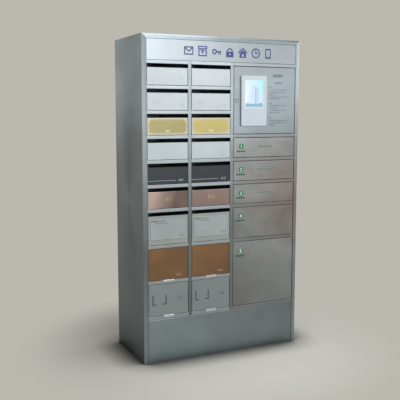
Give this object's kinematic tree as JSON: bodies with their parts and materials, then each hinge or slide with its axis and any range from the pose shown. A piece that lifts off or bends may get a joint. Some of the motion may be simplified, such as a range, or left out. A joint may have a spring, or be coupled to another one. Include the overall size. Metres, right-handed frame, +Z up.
{
  "type": "smart mailbox cabinet",
  "caption": "Free-standing steel mailbox cabinet with slotted letter doors, parcel doors, electric locks and a control door with a touch display.",
  "frame": {"origin": "on the floor under the middle of the carcass", "axes": "+X to the viewer's right, +Y from the doors to the back, +Z up"},
  "size_m": [1.06, 0.4915, 1.95],
  "materials": {
    "front_steel": "satin",
    "side_steel": "satin",
    "inner_steel": "satin",
    "black_plastic": "matte",
    "lock_enamel": "satin",
    "dark_lens": "gloss",
    "case_enamel": "satin",
    "bare_aluminium": "satin",
    "black_rubber": "matte",
    "plated_steel": "polished",
    "white_enamel": "satin",
    "pale_gold": "satin",
    "gold_inlay": "satin",
    "charcoal_enamel": "satin",
    "rose_copper": "satin",
    "silver_enamel": "satin",
    "bronze": "satin",
    "satin_grey": "satin",
    "white_plastic": "satin",
    "display": "gloss",
    "terminal_enamel": "matte"
  },
  "bodies": {
    "cabinet": {"left_side_panel": "side_steel", "right_side_panel": "side_steel", "back_strips": "side_steel", "top_panel": "side_steel", "back_panel": "inner_steel", "base_tray": "inner_steel", "surround": "front_steel", "mullions": "front_steel", "letter_rails": "front_steel", "parcel_rails": "front_steel", "partitions": "inner_steel", "letter_shelves": "inner_steel", "parcel_shelves": "inner_steel", "header_panel": "front_steel", "plinth_panel": "front_steel", "slot_guards": "black_plastic", "electric_locks": "lock_enamel", "indicator_lenses": "dark_lens", "controller_box": "case_enamel", "power_supply": "bare_aluminium", "cable_grommet": "black_rubber", "back_screws": "plated_steel"},
    "letter_door_1_left": {"letter_door_1_left": "white_enamel"},
    "letter_door_1_right": {"letter_door_1_right": "white_enamel"},
    "letter_door_2_left": {"letter_door_2_left": "white_enamel"},
    "letter_door_2_right": {"letter_door_2_right": "white_enamel"},
    "letter_door_3_left": {"letter_door_3_left": "pale_gold", "inlay_3_left": "gold_inlay"},
    "letter_door_3_right": {"letter_door_3_right": "pale_gold", "inlay_3_right": "gold_inlay"},
    "letter_door_4_left": {"letter_door_4_left": "white_enamel"},
    "letter_door_4_right": {"letter_door_4_right": "white_enamel"},
    "letter_door_5_left": {"letter_door_5_left": "charcoal_enamel"},
    "letter_door_5_right": {"letter_door_5_right": "charcoal_enamel"},
    "letter_door_6_left": {"letter_door_6_left": "rose_copper"},
    "letter_door_6_right": {"letter_door_6_right": "rose_copper"},
    "letter_door_7_left": {"letter_door_7_left": "silver_enamel", "raised_plate_7_left": "silver_enamel"},
    "letter_door_7_right": {"letter_door_7_right": "silver_enamel", "raised_plate_7_right": "silver_enamel"},
    "letter_door_8_left": {"letter_door_8_left": "bronze", "pull_tab_8_left": "plated_steel"},
    "letter_door_8_right": {"letter_door_8_right": "bronze", "pull_tab_8_right": "plated_steel"},
    "letter_door_9_left": {"letter_door_9_left": "satin_grey", "pull_tab_9_left": "plated_steel"},
    "letter_door_9_right": {"letter_door_9_right": "satin_grey", "pull_tab_9_right": "plated_steel"},
    "parcel_door_1": {"parcel_door_1": "front_steel"},
    "parcel_door_2": {"parcel_door_2": "front_steel"},
    "parcel_door_3": {"parcel_door_3": "front_steel"},
    "parcel_door_4": {"parcel_door_4": "front_steel"},
    "parcel_door_5": {"parcel_door_5": "front_steel"},
    "control_door": {"control_door": "front_steel", "screen_housing": "white_plastic", "display_panel": "display", "terminal_body": "terminal_enamel", "key_barrel": "plated_steel"},
    "key_plug": {"key_plug": "plated_steel"}
  },
  "joints": [
    {"name": "letter_hinge_1_left", "type": "hinge", "parent": "cabinet", "child": "letter_door_1_left", "pos_m": [-0.4914, -0.2315, 1.6606], "axis": [0, 0, -1], "range_deg": [0, 105]},
    {"name": "letter_hinge_1_right", "type": "hinge", "parent": "cabinet", "child": "letter_door_1_right", "pos_m": [-0.2094, -0.2315, 1.6606], "axis": [0, 0, -1], "range_deg": [0, 105]},
    {"name": "letter_hinge_2_left", "type": "hinge", "parent": "cabinet", "child": "letter_door_2_left", "pos_m": [-0.4914, -0.2315, 1.5166], "axis": [0, 0, -1], "range_deg": [0, 105]},
    {"name": "letter_hinge_2_right", "type": "hinge", "parent": "cabinet", "child": "letter_door_2_right", "pos_m": [-0.2094, -0.2315, 1.5166], "axis": [0, 0, -1], "range_deg": [0, 105]},
    {"name": "letter_hinge_3_left", "type": "hinge", "parent": "cabinet", "child": "letter_door_3_left", "pos_m": [-0.4914, -0.2315, 1.3726], "axis": [0, 0, -1], "range_deg": [0, 105]},
    {"name": "letter_hinge_3_right", "type": "hinge", "parent": "cabinet", "child": "letter_door_3_right", "pos_m": [-0.2094, -0.2315, 1.3726], "axis": [0, 0, -1], "range_deg": [0, 105]},
    {"name": "letter_hinge_4_left", "type": "hinge", "parent": "cabinet", "child": "letter_door_4_left", "pos_m": [-0.4914, -0.2315, 1.2286], "axis": [0, 0, -1], "range_deg": [0, 105]},
    {"name": "letter_hinge_4_right", "type": "hinge", "parent": "cabinet", "child": "letter_door_4_right", "pos_m": [-0.2094, -0.2315, 1.2286], "axis": [0, 0, -1], "range_deg": [0, 105]},
    {"name": "letter_hinge_5_left", "type": "hinge", "parent": "cabinet", "child": "letter_door_5_left", "pos_m": [-0.4914, -0.2315, 1.0846], "axis": [0, 0, -1], "range_deg": [0, 105]},
    {"name": "letter_hinge_5_right", "type": "hinge", "parent": "cabinet", "child": "letter_door_5_right", "pos_m": [-0.2094, -0.2315, 1.0846], "axis": [0, 0, -1], "range_deg": [0, 105]},
    {"name": "letter_hinge_6_left", "type": "hinge", "parent": "cabinet", "child": "letter_door_6_left", "pos_m": [-0.4914, -0.2315, 0.9406], "axis": [0, 0, -1], "range_deg": [0, 105]},
    {"name": "letter_hinge_6_right", "type": "hinge", "parent": "cabinet", "child": "letter_door_6_right", "pos_m": [-0.2094, -0.2315, 0.9406], "axis": [0, 0, -1], "range_deg": [0, 105]},
    {"name": "letter_hinge_7_left", "type": "hinge", "parent": "cabinet", "child": "letter_door_7_left", "pos_m": [-0.4914, -0.2315, 0.7246], "axis": [0, 0, -1], "range_deg": [0, 105]},
    {"name": "letter_hinge_7_right", "type": "hinge", "parent": "cabinet", "child": "letter_door_7_right", "pos_m": [-0.2094, -0.2315, 0.7246], "axis": [0, 0, -1], "range_deg": [0, 105]},
    {"name": "letter_hinge_8_left", "type": "hinge", "parent": "cabinet", "child": "letter_door_8_left", "pos_m": [-0.4914, -0.2315, 0.5086], "axis": [0, 0, -1], "range_deg": [0, 105]},
    {"name": "letter_hinge_8_right", "type": "hinge", "parent": "cabinet", "child": "letter_door_8_right", "pos_m": [-0.2094, -0.2315, 0.5086], "axis": [0, 0, -1], "range_deg": [0, 105]},
    {"name": "letter_hinge_9_left", "type": "hinge", "parent": "cabinet", "child": "letter_door_9_left", "pos_m": [-0.4914, -0.2315, 0.2926], "axis": [0, 0, -1], "range_deg": [0, 105]},
    {"name": "letter_hinge_9_right", "type": "hinge", "parent": "cabinet", "child": "letter_door_9_right", "pos_m": [-0.2094, -0.2315, 0.2926], "axis": [0, 0, -1], "range_deg": [0, 105]},
    {"name": "parcel_hinge_1", "type": "hinge", "parent": "cabinet", "child": "parcel_door_1", "pos_m": [0.4914, -0.2315, 1.2286], "axis": [0, 0, 1], "range_deg": [0, 105]},
    {"name": "parcel_hinge_2", "type": "hinge", "parent": "cabinet", "child": "parcel_door_2", "pos_m": [0.4914, -0.2315, 1.0846], "axis": [0, 0, 1], "range_deg": [0, 105]},
    {"name": "parcel_hinge_3", "type": "hinge", "parent": "cabinet", "child": "parcel_door_3", "pos_m": [0.4914, -0.2315, 0.9406], "axis": [0, 0, 1], "range_deg": [0, 105]},
    {"name": "parcel_hinge_4", "type": "hinge", "parent": "cabinet", "child": "parcel_door_4", "pos_m": [0.4914, -0.2315, 0.7246], "axis": [0, 0, 1], "range_deg": [0, 105]},
    {"name": "parcel_hinge_5", "type": "hinge", "parent": "cabinet", "child": "parcel_door_5", "pos_m": [0.4914, -0.2315, 0.2926], "axis": [0, 0, 1], "range_deg": [0, 105]},
    {"name": "control_hinge", "type": "hinge", "parent": "cabinet", "child": "control_door", "pos_m": [0.4914, -0.2315, 1.3726], "axis": [0, 0, 1], "range_deg": [0, 105]},
    {"name": "key_turn", "type": "hinge", "parent": "control_door", "child": "key_plug", "pos_m": [0.0846, -0.2375, 1.574], "axis": [0, 1, 0], "range_deg": [0, 90]}
  ]
}
